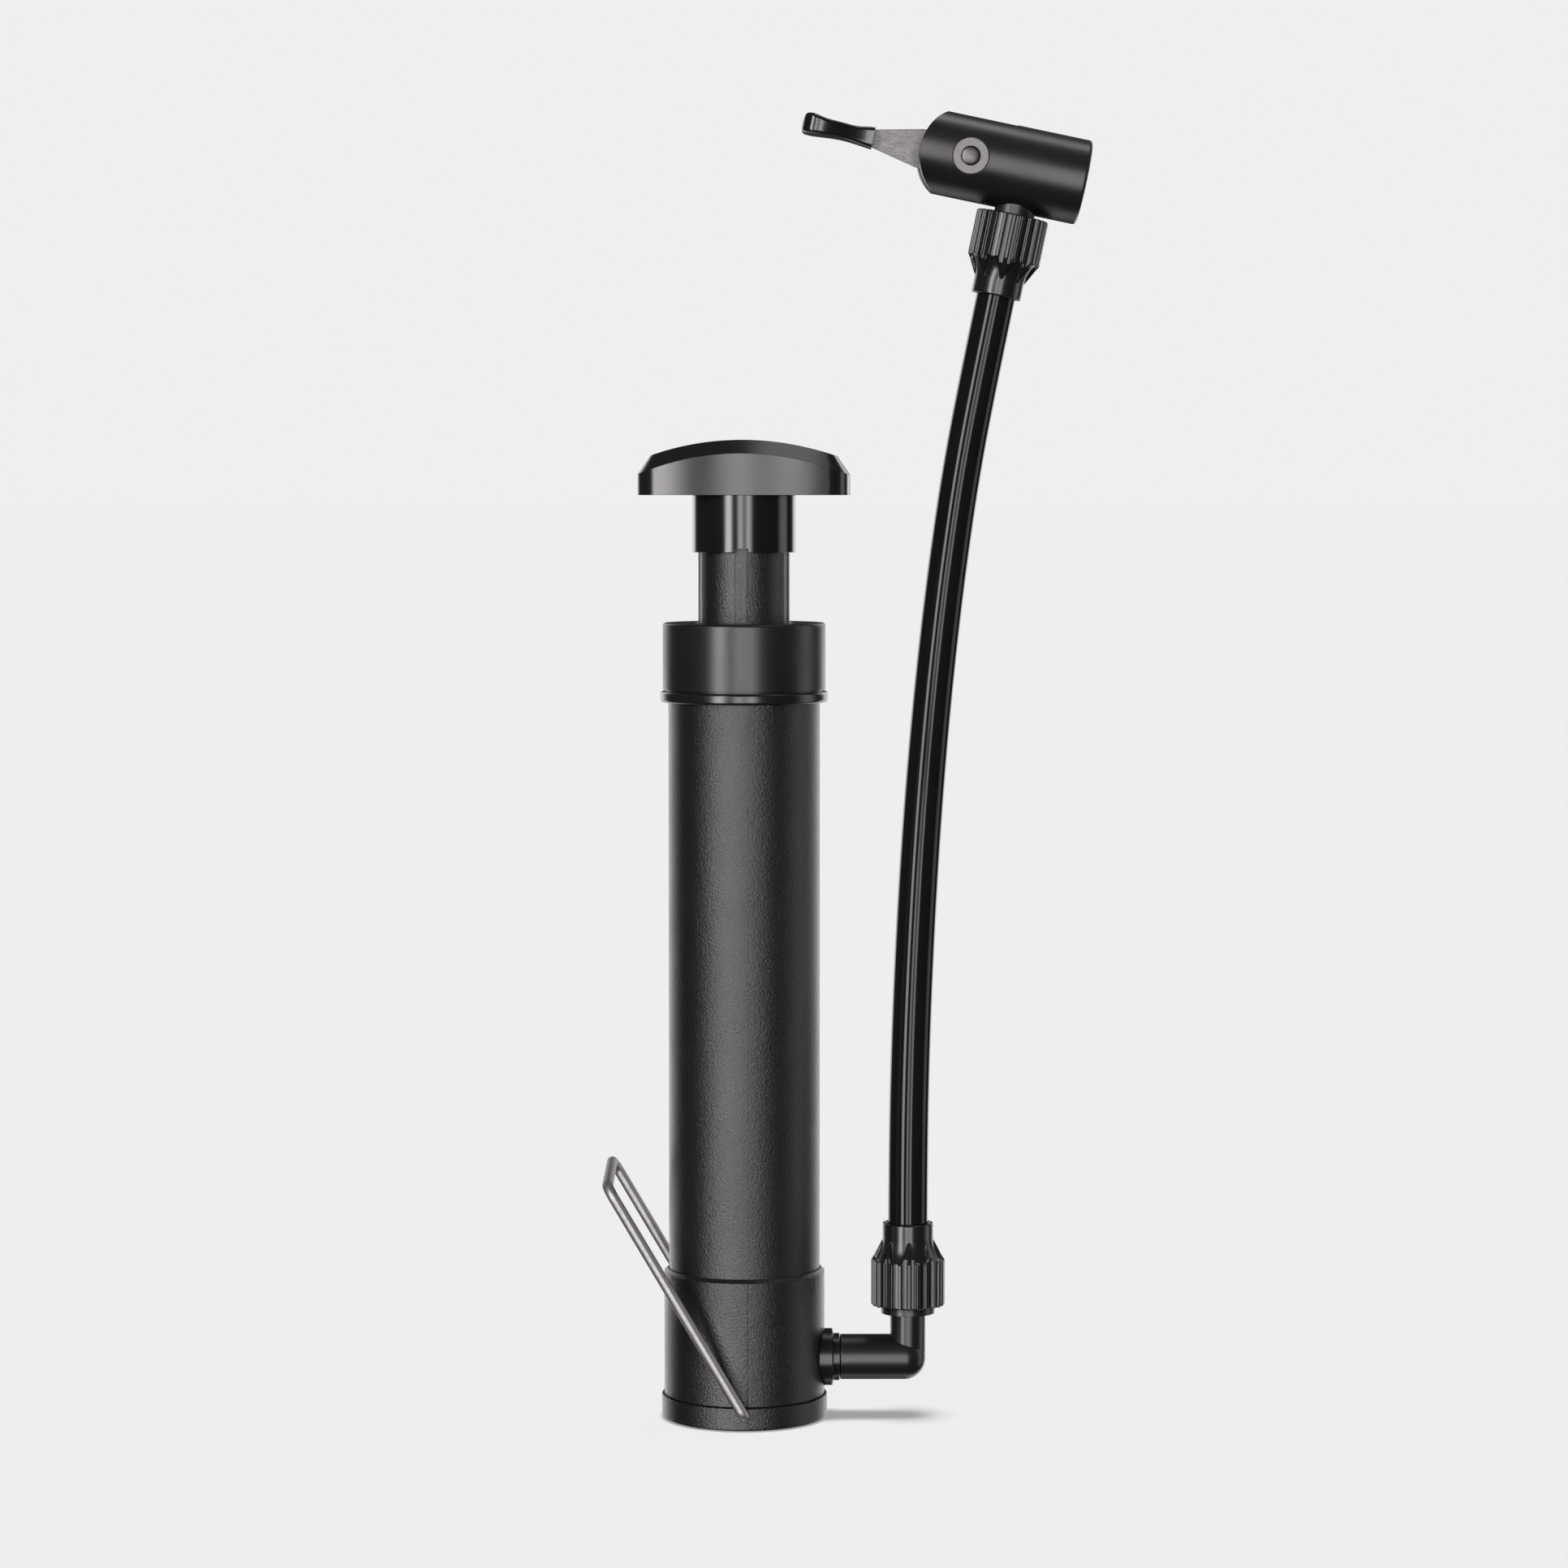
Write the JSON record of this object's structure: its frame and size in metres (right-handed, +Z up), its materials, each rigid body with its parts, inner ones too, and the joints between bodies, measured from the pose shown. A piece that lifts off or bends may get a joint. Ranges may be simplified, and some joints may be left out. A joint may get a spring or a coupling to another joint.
{
  "type": "floor-standing hand pump",
  "caption": "Upright hand air pump with an oval handle, a fold-out wire foot stand and a swivelling hose that ends in a lever-locked valve head.",
  "frame": {"origin": "centre of the foot pad's underside, on the barrel's axis", "axes": "+Z up the barrel, +X from the barrel to the hose, -Y to the front"},
  "size_m": [0.1242, 0.0608, 0.33],
  "materials": {
    "barrel_paint": "fine sandy matt powder coat on aluminium",
    "textured_plastic": "fine moulded texture",
    "black_plastic": "satin",
    "satin_plastic": "satin",
    "gloss_plastic": "glossy black",
    "pale_plastic": "natural acetal",
    "hose_rubber": "smooth glossy black rubber",
    "seal_rubber": "matt black rubber",
    "steel": "zinc plated",
    "steel_wire": "bright drawn wire",
    "dark_steel": "dark satin",
    "lever_steel": "flat matt stamped plate"
  },
  "bodies": {
    "root": {"foot_pad": "seal_rubber", "foot_cap": "textured_plastic", "foot_cap_screws": "steel", "base_housing": "textured_plastic", "barrel": "barrel_paint", "barrel_base_seal": "seal_rubber", "barrel_collar": "black_plastic", "top_cap": "satin_plastic", "guide_bush": "pale_plastic", "cap_wiper_seal": "seal_rubber", "bump_stop": "seal_rubber", "valve_plate": "black_plastic", "spring_retainer": "pale_plastic", "check_spring": "steel", "outlet_flange": "black_plastic"},
    "rod": {"stem_tube": "textured_plastic", "piston_head": "pale_plastic", "piston_o_ring": "seal_rubber", "stem_end_plug": "pale_plastic", "piston_screw": "steel", "stem_collar": "gloss_plastic", "handle_shell": "black_plastic", "handle_pin": "steel"},
    "stand": {"foot_stand": "steel_wire"},
    "hose_line": {"swivel_elbow": "satin_plastic", "elbow_o_ring": "seal_rubber", "elbow_clip": "steel", "hose_nut_lower": "gloss_plastic", "hose": "hose_rubber", "hose_nut_upper": "gloss_plastic", "valve_head": "satin_plastic", "pivot_pin": "dark_steel", "pivot_washers": "dark_steel", "valve_grommet": "seal_rubber", "grommet_retainer": "satin_plastic"},
    "lever": {"lock_lever": "lever_steel", "lever_grip": "gloss_plastic"},
    "plunger": {"clamp_plunger": "pale_plastic"},
    "poppet": {"check_poppet": "pale_plastic"}
  },
  "joints": [
    {"name": "handle_stroke", "type": "slide", "parent": "root", "child": "rod", "axis": [0, 0, 1], "range_m": [-0.0164, 0.128]},
    {"name": "foot_stand_fold", "type": "hinge", "parent": "root", "child": "stand", "pos_m": [0, 0, 0.0041], "axis": [0, -1, 0], "range_deg": [-11, 58]},
    {"name": "elbow_swivel", "type": "hinge", "parent": "root", "child": "hose_line", "pos_m": [0.0412, 0, 0.0149], "axis": [1, 0, 0], "range_deg": [-80, 80]},
    {"name": "lock_lever_pivot", "type": "hinge", "parent": "hose_line", "child": "lever", "pos_m": [0.0574, 0.026, 0.3182], "axis": [0, 1, 0], "range_deg": [0, 90]},
    {"name": "plunger_travel", "type": "slide", "parent": "hose_line", "child": "plunger", "axis": [0.9789, 0, -0.2045], "range_m": [-0.0009, 0.00001], "stiffness_N_per_m": 0.25, "springref_m": -0.0105},
    {"name": "poppet_travel", "type": "slide", "parent": "root", "child": "poppet", "axis": [0, 0, -1], "range_m": [0, 0.0012], "stiffness_N_per_m": 60, "springref_m": -0.0008, "deforming": ["check_spring"]}
  ],
  "couplings": [
    {"joint": "plunger_travel", "follows": "lock_lever_pivot", "m_per_rad": -0.00057296}
  ]
}
